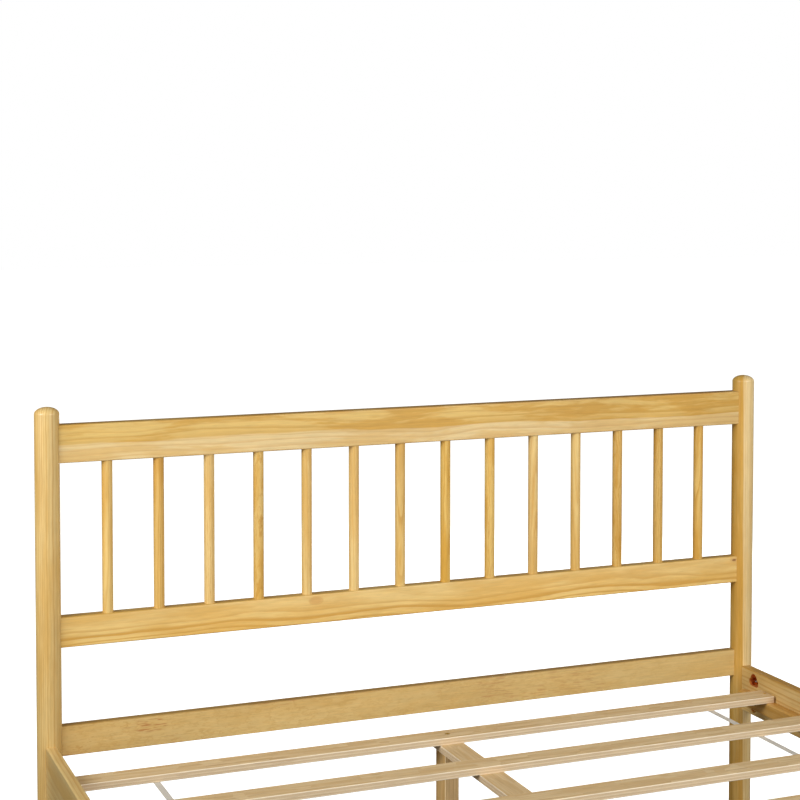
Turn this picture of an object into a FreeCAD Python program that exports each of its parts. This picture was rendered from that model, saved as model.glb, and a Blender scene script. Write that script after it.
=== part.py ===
"""Spindle bed in solid pine: round posts, a headboard of turned spindles between two rails,
bolted side rails, and a slatted base on ledgers, a centre beam and centre legs.

Millimetres. X runs across the bed, +Y points to the head end, Z is up.
The origin is on the floor, in the middle of the bed.
"""
import FreeCAD, Part
import os
from math import atan2, cos, degrees, radians, sin

V = FreeCAD.Vector
UP = V(0, 0, 1)
ACROSS = V(1, 0, 0)
ALONG = V(0, 1, 0)

# ---- Driving dimensions ---------------------------------------------------------------

# The mattress that the frame is made for, and how loosely it lies.
mattress_width = 1600.0
mattress_length = 2000.0
mattress_side_gap = 1.0
mattress_end_gap = 5.0

# Posts
post_diameter = 50.0
post_dome_height = 13.5
post_dome_edge_radius = 10.0
post_dome_steps = 2
post_above_rail = 36.0
head_rail_top_height = 1004.0

# Headboard rails: height of the board and its thickness
top_rail_height = 77.0
top_rail_thickness = 28.0
middle_rail_height = 62.0
middle_rail_thickness = 26.0
bottom_rail_height = 62.0
bottom_rail_thickness = 18.0
spindle_field_height = 310.0
open_field_height = 159.0
headboard_edge_radius = 3.0
bottom_rail_edge_radius = 1.5

# Spindles
spindle_count = 14
spindle_diameter = 22.0
spindle_tenon_diameter = 14.0
spindle_tenon_length = 16.0

# Rail tenons in the posts
rail_tenon_thickness = 10.0
rail_tenon_shoulder = 9.0
rail_tenon_reach = 26.0

# Side rails and foot rail
side_rail_height = 105.0
side_rail_thickness = 22.0
side_rail_clear_of_floor = 254.0
side_rail_edge_radius = 3.0
foot_rail_thickness = 22.0
foot_rail_height = 105.0

# Slatted base. The loose slats lie a little off their even pitch.
slat_width = 53.0
slat_thickness = 15.0
slat_edge_ease = 1.0
slat_end_gap = 5.0
slat_top_below_rail = 34.0
first_slat_from_post = 136.0
last_slat_from_post = 79.0
slat_strays = (0.0, 7.5, -4.5, 0.0, 3.0, -2.0, 4.0, -3.0, 2.0, 0.0)
beam_width = 54.0
beam_thickness = 15.0
beam_overhang = 26.0
centre_leg_width = 32.0
centre_leg_depth = 50.0
centre_leg_edge_ease = 1.5
ledger_thickness = 25.0
ledger_height = 30.0
ledger_from_post = 20.0
ledger_edge_ease = 2.0

# Webbing tapes that space the slats
tape_width = 14.0
tape_thickness = 1.2
tape_from_centre = 632.0
staple_wire = 1.0
staple_leg = 5.0

# Rail hardware: a stud, insert, half-moon washer and nut, twice in each corner, and a dowel
stud_diameter = 6.0
stud_length = 62.0
stud_from_rail_edge = 27.0
insert_diameter = 10.0
insert_length = 15.0
insert_below_surface = 1.5
nut_across_flats = 10.0
nut_height = 5.0
washer_radius = 8.7
washer_depth = 12.0
pocket_from_post = 47.0
pocket_slot_length = 38.0
pocket_slot_height = 18.0
pocket_round_diameter = 26.0
pocket_round_rise = 7.0
pocket_depth = 18.0
dowel_diameter = 8.0
dowel_length = 30.0

# Screws
ledger_screw_count = 6
ledger_screw_from_end = 70.0
screw_diameter = 4.0
screw_head_diameter = 8.0
screw_head_height = 2.4
ledger_screw_length = 35.0
slat_screw_length = 38.0
leg_screw_diameter = 5.0
leg_screw_head_diameter = 10.0
leg_screw_head_height = 3.0
leg_screw_grip = 45.0

# Floor glides
post_glide_diameter = 40.0
leg_glide_diameter = 26.0
glide_thickness = 4.0

# Sides of the many-sided bars that stand for small round parts and their bores,
# and of the larger ones: pockets, washers and glides
small_round_sides = 8
large_round_sides = 16

# Clearances
seat_gap = 0.2
bore_gap = 0.3
tape_gap = 0.3

# ---- Places that follow from them -----------------------------------------------------

post_radius = post_diameter / 2
inner_width = mattress_width + 2 * mattress_side_gap
post_spacing = inner_width + side_rail_thickness
bed_length = mattress_length + 2 * mattress_end_gap + post_diameter
post_x = post_spacing / 2
head_y = bed_length / 2
foot_y = -bed_length / 2

head_post_top = head_rail_top_height + post_above_rail
top_rail_bottom = head_rail_top_height - top_rail_height
middle_rail_top = top_rail_bottom - spindle_field_height
middle_rail_bottom = middle_rail_top - middle_rail_height
bottom_rail_top = middle_rail_bottom - open_field_height
bottom_rail_bottom = bottom_rail_top - bottom_rail_height

side_rail_bottom = side_rail_clear_of_floor
side_rail_top = side_rail_bottom + side_rail_height
foot_rail_bottom = side_rail_top - foot_rail_height
foot_post_top = side_rail_top + post_above_rail

slat_top = side_rail_top - slat_top_below_rail
slat_bottom = slat_top - slat_thickness
slat_length = inner_width - 2 * slat_end_gap
first_slat_y = head_y - first_slat_from_post
last_slat_y = foot_y + last_slat_from_post
slat_pitch = (first_slat_y - last_slat_y) / (len(slat_strays) - 1)
slat_ys = [first_slat_y - i * slat_pitch + stray for i, stray in enumerate(slat_strays)]
ledger_x = inner_width / 2 - ledger_thickness / 2
beam_bottom = slat_bottom - beam_thickness
tape_top = slat_bottom - tape_gap
middle_leg_y = (slat_ys[0] + slat_ys[-1]) / 2
staple_width = tape_width + 2 * (tape_gap + staple_wire)
ledger_screw_height = slat_bottom - ledger_height / 2

stud_heights = (side_rail_bottom + stud_from_rail_edge, side_rail_top - stud_from_rail_edge)
dowel_height = side_rail_bottom + side_rail_height / 2
pocket_y_from_post = post_radius + pocket_from_post
washer_flat_from_post = pocket_y_from_post - pocket_slot_length / 2 + pocket_slot_height / 2
stud_start_from_post = post_radius - insert_below_surface - insert_length


# ---- Shape helpers --------------------------------------------------------------------

def box(x0, x1, y0, y1, z0, z1):
    """A plain block between two corners."""
    return Part.makeBox(x1 - x0, y1 - y0, z1 - z0, V(x0, y0, z0))


def rod(diameter, length, start, direction):
    """A plain cylinder."""
    return Part.makeCylinder(diameter / 2, length, start, direction)


def many_sided(stations, start, direction, sides=small_round_sides):
    """A straight bar with a many-sided section, through (distance, diameter) stations."""
    reference = ACROSS if abs(direction.z) > 0.5 else UP
    rings = []
    for distance, diameter in stations:
        ring = []
        for i in range(sides):
            turn = FreeCAD.Rotation(direction, 360 * (i + 0.5) / sides)
            ring.append(start + direction * distance + turn.multVec(reference) * (diameter / 2))
        rings.append(ring)
    faces = [Part.Face(Part.makePolygon(ring + ring[:1])) for ring in (rings[0], rings[-1])]
    for low, high in zip(rings, rings[1:]):
        for i in range(sides):
            j = (i + 1) % sides
            faces.append(Part.Face(Part.makePolygon([low[i], low[j], high[j], high[i], low[i]])))
    solid = Part.makeSolid(Part.makeShell(faces))
    return solid if solid.Volume > 0 else solid.reversed()


def bar(diameter, length, start, direction, sides=small_round_sides):
    """A small round part or bore of one diameter."""
    return many_sided([(0, diameter), (length, diameter)], start, direction, sides)


def rounded_section(width, height, radius):
    """A rectangle with rounded corners, centred in the XY plane."""
    x, y = width / 2, height / 2
    r = min(radius, 0.45 * min(width, height))
    k = r * (1 - 0.5 ** 0.5)
    corners = [(V(x - r, -y, 0), V(x - k, -y + k, 0), V(x, -y + r, 0)),
               (V(x, y - r, 0), V(x - k, y - k, 0), V(x - r, y, 0)),
               (V(-x + r, y, 0), V(-x + k, y - k, 0), V(-x, y - r, 0)),
               (V(-x, -y + r, 0), V(-x + k, -y + k, 0), V(-x + r, -y, 0))]
    edges = []
    for i, (start, middle, end) in enumerate(corners):
        edges.append(Part.Arc(start, middle, end).toShape())
        edges.append(Part.LineSegment(end, corners[(i + 1) % 4][0]).toShape())
    return Part.Face(Part.Wire(edges))


def eased_section(width, height, ease):
    """A rectangle with its corners planed off at 45 degrees, centred in the XY plane."""
    x, y = width / 2, height / 2
    ring = [V(x - ease, -y, 0), V(x, -y + ease, 0), V(x, y - ease, 0), V(x - ease, y, 0),
            V(-x + ease, y, 0), V(-x, y - ease, 0), V(-x, -y + ease, 0), V(-x + ease, -y, 0)]
    return Part.Face(Part.makePolygon(ring + ring[:1]))


def board_across(length, section, centre):
    """A board along X, from a section drawn with its height along X and thickness along Y."""
    board = section.extrude(V(0, 0, length))
    board.translate(V(0, 0, -length / 2))
    board.rotate(V(0, 0, 0), ALONG, 90)
    board.translate(centre)
    return board


def board_along(length, section, centre):
    """A board along Y, from a section drawn with its thickness along X and height along Y."""
    board = section.extrude(V(0, 0, length))
    board.translate(V(0, 0, -length / 2))
    board.rotate(V(0, 0, 0), ACROSS, 90)
    board.translate(centre)
    return board


def countersunk_screw(diameter, length, head_diameter, head_height, top, direction):
    """A screw from the middle of its flat head, along its driving direction."""
    return many_sided([(0, head_diameter), (head_height, diameter), (length, diameter)],
                      top, direction)


def cut_all(shape, tools):
    """The shape less every tool."""
    return shape.cut(Part.makeCompound(tools)) if tools else shape


def export(name, *solids):
    """One STEP file for each node, with its solids."""
    shape = solids[0] if len(solids) == 1 else Part.makeCompound(solids)
    for solid in shape.Solids:
        if not solid.isValid():
            raise ValueError(name + " is not valid")
    shape.exportStep("parts/" + name + ".step")


# ---- Joints ---------------------------------------------------------------------------

def rail_tenon(side, y, z0, z1, clearance):
    """The tenon of a cross rail in a post, or the mortise when a clearance is given."""
    inner = post_x - post_radius - rail_tenon_shoulder
    reach = post_x - post_radius + rail_tenon_reach + clearance
    x0, x1 = sorted((side * inner, side * reach))
    half = rail_tenon_thickness / 2 + clearance
    low = z0 + rail_tenon_shoulder - clearance
    high = z1 - rail_tenon_shoulder + clearance
    return box(x0, x1, y - half, y + half, low, high)


def cross_rail(y, z0, z1, thickness, radius):
    """A rail between two posts: its shoulders are scribed to the round posts."""
    rail = board_across(post_spacing, rounded_section(z1 - z0, thickness, radius),
                        V(0, y, (z0 + z1) / 2))
    scribe_diameter = post_diameter + 2 * seat_gap
    posts = [rod(scribe_diameter, z1 - z0 + 2, V(side * post_x, y, z0 - 1), UP) for side in (-1, 1)]
    rail = cut_all(rail, posts)
    body = max(rail.Solids, key=lambda solid: solid.Volume)
    tenons = [rail_tenon(side, y, z0, z1, 0) for side in (-1, 1)]
    return body.multiFuse(tenons).removeSplitter()


def rail_hardware_bores(side, end_y):
    """Insert and dowel holes of one side rail joint in its post."""
    inward = V(0, -1 if end_y > 0 else 1, 0)
    bores = []
    for z in stud_heights:
        start = V(side * post_x, end_y, z) + inward * (stud_start_from_post - bore_gap)
        bores.append(bar(insert_diameter + 2 * bore_gap, post_diameter, start, inward))
    start = V(side * post_x, end_y, dowel_height) + inward * (post_radius - dowel_length / 2 - bore_gap)
    bores.append(bar(dowel_diameter + 2 * bore_gap, post_diameter, start, inward))
    return bores


def arc_points(centre, radius, start_angle, end_angle):
    """Points on an arc in the XZ plane, with angles in degrees from +X."""
    points = []
    for i in range(post_dome_steps + 1):
        angle = radians(start_angle + (end_angle - start_angle) * i / post_dome_steps)
        points.append(centre + V(cos(angle), 0, sin(angle)) * radius)
    return points


def dome_profile(top):
    """The post's rounded shoulder and its shallower crown, tangent to each other, in short steps."""
    shoulder, r = post_dome_height, post_dome_edge_radius
    crown_radius = ((post_radius ** 2 - 2 * post_radius * r + shoulder ** 2) / (2 * (shoulder - r)))
    edge_centre = V(post_radius - r, 0, top - shoulder)
    crown_centre = V(0, 0, top - crown_radius)
    joint = edge_centre - crown_centre
    joint_angle = degrees(atan2(joint.z, joint.x))
    return (arc_points(edge_centre, r, 0, joint_angle)
            + arc_points(crown_centre, crown_radius, joint_angle, 90)[1:])


def post(side, y, top, mortises):
    """A turned post with a domed top, bored and mortised for its rails."""
    axis_foot, foot = V(0, 0, glide_thickness), V(post_radius, 0, glide_thickness)
    profile = Part.makePolygon([axis_foot, foot] + dome_profile(top) + [axis_foot])
    shape = Part.Face(profile).revolve(V(0, 0, 0), UP, 360)
    shape.translate(V(side * post_x, y, 0))
    return cut_all(shape, mortises + rail_hardware_bores(side, y))


# ---- Headboard ------------------------------------------------------------------------

headboard_rails = {
    "headboard_top_rail": (top_rail_bottom, head_rail_top_height, top_rail_thickness,
                           headboard_edge_radius),
    "headboard_middle_rail": (middle_rail_bottom, middle_rail_top, middle_rail_thickness,
                              headboard_edge_radius),
    "headboard_bottom_rail": (bottom_rail_bottom, bottom_rail_top, bottom_rail_thickness,
                              bottom_rail_edge_radius),
}


def headboard_posts():
    for name, side in (("left", -1), ("right", 1)):
        mortises = [rail_tenon(side, head_y, z0, z1, bore_gap)
                    for z0, z1, _, _ in headboard_rails.values()]
        export("headboard_post_" + name, post(side, head_y, head_post_top, mortises))


def spindle_xs():
    """Centres of the spindles, with equal gaps from post to post."""
    clear = post_spacing - post_diameter - spindle_count * spindle_diameter
    gap = clear / (spindle_count + 1)
    first = -post_x + post_radius + gap + spindle_diameter / 2
    return [first + i * (gap + spindle_diameter) for i in range(spindle_count)]


def spindle(x):
    """A turned spindle with a shouldered tenon at each end."""
    foot, top = V(x, head_y, middle_rail_top), V(x, head_y, top_rail_bottom)
    turning = rod(spindle_diameter, spindle_field_height, foot, UP)
    tenons = [bar(spindle_tenon_diameter, spindle_tenon_length, foot, -UP),
              bar(spindle_tenon_diameter, spindle_tenon_length, top, UP)]
    return turning.multiFuse(tenons)


def headboard_panel():
    """The three rails, bored for the spindles, and the spindles."""
    bore_diameter = spindle_tenon_diameter + 2 * bore_gap
    bore_depth = spindle_tenon_length + bore_gap
    bores = {"headboard_top_rail": [], "headboard_middle_rail": [], "headboard_bottom_rail": []}
    for i, x in enumerate(spindle_xs()):
        bores["headboard_top_rail"].append(
            bar(bore_diameter, bore_depth, V(x, head_y, top_rail_bottom), UP))
        bores["headboard_middle_rail"].append(
            bar(bore_diameter, bore_depth, V(x, head_y, middle_rail_top), -UP))
        export("spindle_%02d" % (i + 1), spindle(x))
    for name, (z0, z1, thickness, radius) in headboard_rails.items():
        export(name, cut_all(cross_rail(head_y, z0, z1, thickness, radius), bores[name]))


# ---- Foot end -------------------------------------------------------------------------

def foot_end():
    for name, side in (("left", -1), ("right", 1)):
        mortise = rail_tenon(side, foot_y, foot_rail_bottom, side_rail_top, bore_gap)
        export("foot_post_" + name, post(side, foot_y, foot_post_top, [mortise]))
    export("foot_rail", cross_rail(foot_y, foot_rail_bottom, side_rail_top, foot_rail_thickness,
                                   side_rail_edge_radius))


# ---- Side rails and ledgers -----------------------------------------------------------

def rail_ends():
    """Each end of a side rail: the post's centre and the direction into the rail."""
    return ((head_y, -1), (foot_y, 1))


def pocket(side, y, z, rise):
    """The pocket on the rail's inner face, a slot with a rounder wrench hole beside it."""
    inner_x = side * inner_width / 2
    into_rail = ACROSS * side
    start_x = inner_x - side
    depth = pocket_depth + 1
    reach = pocket_slot_length / 2 - pocket_slot_height / 2
    slot = box(min(start_x, start_x + side * depth), max(start_x, start_x + side * depth),
               y - reach, y + reach, z - pocket_slot_height / 2, z + pocket_slot_height / 2)
    ends = [bar(pocket_slot_height, depth, V(start_x, y + s * reach, z), into_rail,
                large_round_sides) for s in (-1, 1)]
    wrench_hole = bar(pocket_round_diameter, depth, V(start_x, y, z + rise), into_rail,
                      large_round_sides)
    return slot.multiFuse(ends + [wrench_hole])


def ledger_screw_ys():
    half = bed_length / 2 - post_radius - ledger_from_post - ledger_screw_from_end
    step = 2 * half / (ledger_screw_count - 1)
    return [half - i * step for i in range(ledger_screw_count)]


def ledger_screw(side, y, clearance):
    """A ledger screw, or its hole when a clearance is given."""
    top = V(side * (inner_width / 2 - ledger_thickness), y, ledger_screw_height)
    return countersunk_screw(screw_diameter + 2 * clearance, ledger_screw_length + clearance,
                             screw_head_diameter + 2 * clearance, screw_head_height + clearance,
                             top, ACROSS * side)


def side_rail(side):
    z_middle = side_rail_bottom + side_rail_height / 2
    section = rounded_section(side_rail_thickness, side_rail_height, side_rail_edge_radius)
    rail = board_along(bed_length, section, V(side * post_x, 0, z_middle))
    cuts = [rod(post_diameter + 2 * seat_gap, side_rail_height + 2,
                V(side * post_x, y, side_rail_bottom - 1), UP) for y in (head_y, foot_y)]
    rail = cut_all(rail, cuts)
    body = max(rail.Solids, key=lambda solid: solid.Volume)
    bores = [ledger_screw(side, y, bore_gap) for y in ledger_screw_ys()]
    for end_y, into in rail_ends():
        start = V(side * post_x, end_y, 0)
        for z, rise in zip(stud_heights, (-pocket_round_rise, pocket_round_rise)):
            bores.append(pocket(side, end_y + into * pocket_y_from_post, z, rise))
            bores.append(bar(stud_diameter + 2 * bore_gap, pocket_y_from_post,
                             start + UP * z, ALONG * into))
        bores.append(bar(dowel_diameter + 2 * bore_gap, post_radius + dowel_length / 2 + bore_gap,
                         start + UP * dowel_height, ALONG * into))
    return cut_all(body, bores)


def side_rails_and_ledgers():
    ledger_length = bed_length - post_diameter - 2 * ledger_from_post
    for name, side in (("left", -1), ("right", 1)):
        export("side_rail_" + name, side_rail(side))
        ledger = board_along(ledger_length,
                             eased_section(ledger_thickness, ledger_height, ledger_edge_ease),
                             V(side * ledger_x, 0, slat_bottom - ledger_height / 2))
        holes = [ledger_screw(side, y, bore_gap) for y in ledger_screw_ys()]
        holes += [slat_screw(side, y, bore_gap) for y in (slat_ys[0], slat_ys[-1])]
        export("ledger_" + name, cut_all(ledger, holes))
    export("ledger_screws", *[ledger_screw(side, y, 0) for side in (-1, 1)
                              for y in ledger_screw_ys()])


# ---- Rail hardware --------------------------------------------------------------------

def half_moon_washer(x, z, flat_y, into):
    """A half disc across the rail: round against the pocket's end, flat under the nut."""
    disc = bar(2 * washer_radius, washer_depth, V(x - washer_depth / 2, flat_y, z), ACROSS,
               large_round_sides)
    y0, y1 = sorted((flat_y, flat_y - into * washer_radius))
    half = disc.common(box(x - washer_depth, x + washer_depth, y0, y1,
                           z - washer_radius, z + washer_radius))
    hole = bar(stud_diameter + 2 * bore_gap, 3 * washer_radius,
               V(x, flat_y - into * 2 * washer_radius, z), ALONG * into)
    return half.cut(hole)


def hexagon_nut(x, z, face_y, into):
    """A plain hexagon nut that bears on the washer's flat face."""
    across_corners = 2 * nut_across_flats / 3 ** 0.5
    nut = bar(across_corners, nut_height, V(x, face_y, z), ALONG * into, 6)
    bore = bar(stud_diameter + 2 * bore_gap, 3 * nut_height,
               V(x, face_y - into * nut_height, z), ALONG * into)
    return nut.cut(bore)


def threaded_insert(start, into):
    """A sleeve in the post that takes the stud."""
    sleeve = bar(insert_diameter, insert_length, start, into)
    return sleeve.cut(bar(stud_diameter + 2 * bore_gap, 3 * insert_length,
                          start - into * insert_length, into))


def rail_hardware():
    studs, inserts, washers, nuts, dowels = [], [], [], [], []
    for side in (-1, 1):
        x = side * post_x
        for end_y, into in rail_ends():
            for z in stud_heights:
                start = V(x, end_y + into * stud_start_from_post, z)
                studs.append(bar(stud_diameter, stud_length, start, ALONG * into))
                inserts.append(threaded_insert(start, ALONG * into))
                flat_y = end_y + into * washer_flat_from_post
                washers.append(half_moon_washer(x, z, flat_y, into))
                nuts.append(hexagon_nut(x, z, flat_y + into * seat_gap, into))
            dowel_start = V(x, end_y + into * (post_radius - dowel_length / 2), dowel_height)
            dowels.append(bar(dowel_diameter, dowel_length, dowel_start, ALONG * into))
    export("rail_studs", *studs)
    export("post_inserts", *inserts)
    export("half_moon_washers", *washers)
    export("rail_nuts", *nuts)
    export("rail_dowels", *dowels)


# ---- Slatted base ---------------------------------------------------------------------

def slat_screw(side, y, clearance):
    """The screw of an end slat into its ledger, or its hole when a clearance is given."""
    return countersunk_screw(screw_diameter + 2 * clearance, slat_screw_length + clearance,
                             screw_head_diameter + 2 * clearance, screw_head_height + clearance,
                             V(side * ledger_x, y, slat_top), -UP)


def leg_ys():
    return (slat_ys[0], middle_leg_y, slat_ys[-1])


def leg_screw(y, clearance):
    """The screw that holds a leg: through the slat above it, where there is one."""
    over_slat = y in (slat_ys[0], slat_ys[-1])
    top = slat_top if over_slat else slat_bottom
    return countersunk_screw(leg_screw_diameter + 2 * clearance,
                             top - beam_bottom + leg_screw_grip + clearance,
                             leg_screw_head_diameter + 2 * clearance,
                             leg_screw_head_height + clearance, V(0, y, top), -UP)


def tape_xs():
    return (-tape_from_centre, tape_from_centre)


def staple(x, y, clearance):
    """A staple that straddles the tape into the slat above, or its holes when a clearance is given."""
    wire = staple_wire / 2 + clearance
    crown_top = tape_top - tape_thickness - tape_gap
    legs = []
    for s in (-1, 1):
        centre = x + s * (staple_width - staple_wire) / 2
        legs.append(box(centre - wire, centre + wire, y - wire, y + wire,
                        crown_top - staple_wire, slat_bottom + staple_leg + clearance))
    if clearance:
        return legs
    crown = box(x - staple_width / 2, x + staple_width / 2, y - wire, y + wire,
                crown_top - staple_wire, crown_top)
    return crown.multiFuse(legs).removeSplitter()


def slats():
    for i, y in enumerate(slat_ys):
        slat = board_across(slat_length, eased_section(slat_thickness, slat_width, slat_edge_ease),
                            V(0, y, (slat_top + slat_bottom) / 2))
        holes = [hole for x in tape_xs() for hole in staple(x, y, bore_gap)]
        if y in (slat_ys[0], slat_ys[-1]):
            holes += [slat_screw(side, y, bore_gap) for side in (-1, 1)]
            holes.append(leg_screw(y, bore_gap))
        export("slat_%02d" % (i + 1), cut_all(slat, holes))
    export("slat_screws", *[slat_screw(side, y, 0) for side in (-1, 1)
                            for y in (slat_ys[0], slat_ys[-1])])


def centre_support():
    head_end = slat_ys[0] + beam_overhang
    foot_end_y = slat_ys[-1] - beam_overhang
    beam = board_along(head_end - foot_end_y,
                       eased_section(beam_width, beam_thickness, slat_edge_ease),
                       V(0, (head_end + foot_end_y) / 2, slat_bottom - beam_thickness / 2))
    export("centre_beam", cut_all(beam, [leg_screw(y, bore_gap) for y in leg_ys()]))
    for name, y in zip(("head", "middle", "foot"), leg_ys()):
        leg = eased_section(centre_leg_width, centre_leg_depth, centre_leg_edge_ease)
        leg = leg.extrude(UP * (beam_bottom - glide_thickness))
        leg.translate(V(0, y, glide_thickness))
        export("centre_leg_" + name, leg.cut(leg_screw(y, bore_gap)))
    export("centre_leg_screws", *[leg_screw(y, 0) for y in leg_ys()])


def tapes():
    start = slat_ys[0] + slat_width / 4
    end = slat_ys[-1] - slat_width / 4
    for name, x in zip(("left", "right"), tape_xs()):
        export("slat_tape_" + name, box(x - tape_width / 2, x + tape_width / 2, end, start,
                                        tape_top - tape_thickness, tape_top))
    export("tape_staples", *[staple(x, y, 0) for x in tape_xs() for y in slat_ys])


def glides():
    posts = [(side * post_x, y) for side in (-1, 1) for y in (head_y, foot_y)]
    export("post_glides", *[bar(post_glide_diameter, glide_thickness, V(x, y, 0), UP,
                                large_round_sides) for x, y in posts])
    export("leg_glides", *[bar(leg_glide_diameter, glide_thickness, V(0, y, 0), UP,
                               large_round_sides) for y in leg_ys()])


os.makedirs("parts", exist_ok=True)
headboard_posts()
headboard_panel()
foot_end()
side_rails_and_ledgers()
rail_hardware()
slats()
centre_support()
tapes()
glides()
print("built", len(os.listdir("parts")), "parts, head post top", head_post_top)
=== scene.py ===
import bpy, bmesh, random
from math import cos, pi, radians, sin
from mathutils import Matrix, Vector


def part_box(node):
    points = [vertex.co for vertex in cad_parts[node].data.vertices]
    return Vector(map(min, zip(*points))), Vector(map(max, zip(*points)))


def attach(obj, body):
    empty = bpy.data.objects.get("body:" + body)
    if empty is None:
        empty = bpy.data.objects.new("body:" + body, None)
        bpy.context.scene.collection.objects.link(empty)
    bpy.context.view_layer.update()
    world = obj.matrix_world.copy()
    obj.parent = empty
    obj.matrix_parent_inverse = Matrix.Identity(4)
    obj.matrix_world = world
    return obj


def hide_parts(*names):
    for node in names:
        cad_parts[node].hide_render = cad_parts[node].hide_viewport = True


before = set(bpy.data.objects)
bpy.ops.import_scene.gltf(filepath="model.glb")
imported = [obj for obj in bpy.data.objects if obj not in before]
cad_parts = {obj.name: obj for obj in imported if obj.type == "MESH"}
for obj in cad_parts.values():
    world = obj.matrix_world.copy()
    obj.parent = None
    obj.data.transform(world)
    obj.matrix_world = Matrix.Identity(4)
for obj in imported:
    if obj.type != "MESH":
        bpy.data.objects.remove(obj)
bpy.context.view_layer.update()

# ---- Sizes read back from the frame, in metres ------------------------------------------

X, Y, Z = Vector((1, 0, 0)), Vector((0, 1, 0)), Vector((0, 0, 1))
post_low, post_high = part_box("headboard_post_right")
post_radius = (post_high.x - post_low.x) / 2
post_x = (post_high.x + post_low.x) / 2
head_y = (post_high.y + post_low.y) / 2
head_post_top = post_high.z
foot_low, foot_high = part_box("foot_post_right")
foot_y = (foot_high.y + foot_low.y) / 2
foot_post_top = foot_high.z
glide_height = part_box("post_glides")[1].z
slat_names = ["slat_%02d" % i for i in range(1, 11)]
spindle_names = ["spindle_%02d" % i for i in range(1, 15)]


# ---- Shader helpers ---------------------------------------------------------------------

class Nodes:
    """Short names for the shader nodes of one material."""

    def __init__(self, name):
        self.material = bpy.data.materials.new(name)
        self.material.use_nodes = True
        self.tree = self.material.node_tree
        self.tree.nodes.clear()
        output = self.tree.nodes.new("ShaderNodeOutputMaterial")
        self.shader = self.tree.nodes.new("ShaderNodeBsdfPrincipled")
        self.tree.links.new(self.shader.outputs[0], output.inputs[0])

    def put(self, socket, value):
        if isinstance(value, bpy.types.NodeSocket):
            self.tree.links.new(value, socket)
        else:
            socket.default_value = value

    def add(self, kind, inputs=(), **settings):
        node = self.tree.nodes.new("ShaderNode" + kind)
        for key, value in settings.items():
            setattr(node, key, value)
        for key, value in dict(inputs).items():
            self.put(node.inputs[key], value)
        return node

    def math(self, operation, a, b=0.0, c=0.0, clamp=False):
        """A sum on numbers. MULTIPLY_ADD gives a times b plus c."""
        node = self.add("Math", {0: a, 1: b, 2: c}, operation=operation, use_clamp=clamp)
        return node.outputs[0]

    def vector(self, operation, a, b=(0, 0, 0), scale=1.0):
        node = self.add("VectorMath", {0: a, 1: b, 3: scale}, operation=operation)
        return node.outputs[1 if operation == "LENGTH" else 0]

    def attribute(self, name):
        return self.add("Attribute", attribute_name=name).outputs["Vector"]

    def split(self, vector):
        return self.add("SeparateXYZ", {0: vector}).outputs[:3]

    def join(self, x, y, z):
        return self.add("CombineXYZ", {0: x, 1: y, 2: z}).outputs[0]

    def noise(self, vector, scale, detail=2.0, roughness=0.5, colour=False):
        node = self.add("TexNoise", {"Vector": vector, "Scale": scale, "Detail": detail,
                                     "Roughness": roughness})
        return node.outputs["Color" if colour else 0]

    def grain(self, log, stretch, scale, detail=2.0, roughness=0.5, colour=False):
        """Noise that is drawn out along the grain where stretch is below 1."""
        place = self.vector("MULTIPLY", log, (1, 1, stretch))
        return self.noise(place, scale, detail, roughness, colour)

    def centred(self, colour):
        """A noise's colour as a vector about zero."""
        return self.vector("SUBTRACT", colour, (0.5, 0.5, 0.5))

    def vary(self, base, noise, amount):
        """The base, moved up and down by a noise about its middle."""
        return self.math("MULTIPLY_ADD", self.math("SUBTRACT", noise, 0.5), amount, base)

    def random(self, value):
        return self.add("TexWhiteNoise", {"W": value}, noise_dimensions="1D").outputs["Value"]

    def ease(self, value, low, high, start=0.0, end=1.0):
        """A smooth step from start to end as the value goes from low to high."""
        limits = {"Value": value, "From Min": low, "From Max": high, "To Min": start, "To Max": end}
        return self.add("MapRange", limits, interpolation_type="SMOOTHSTEP").outputs[0]

    def mix(self, factor, a, b):
        node = self.add("Mix", data_type="RGBA")
        self.put(node.inputs[0], factor)
        self.put(node.inputs[6], a)
        self.put(node.inputs[7], b)
        return node.outputs[2]

    def gain(self, colour, factor):
        """The colour times a number."""
        return self.vector("SCALE", colour, scale=factor)

    def bump(self, height, distance, strength):
        return self.add("Bump", {"Height": height, "Distance": distance,
                                 "Strength": strength}).outputs[0]

    def finish(self, **sockets):
        for key, value in sockets.items():
            self.put(self.shader.inputs[key.replace("_", " ")], value)
        return self.material


def rgb(r, g, b):
    """A colour read in sRGB steps of 0 to 255, as the linear colour that shaders take."""
    def linear(step):
        s = step / 255
        return s / 12.92 if s <= 0.04045 else ((s + 0.055) / 1.055) ** 2.4
    return (linear(r), linear(g), linear(b), 1.0)


# ---- Materials --------------------------------------------------------------------------

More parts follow.
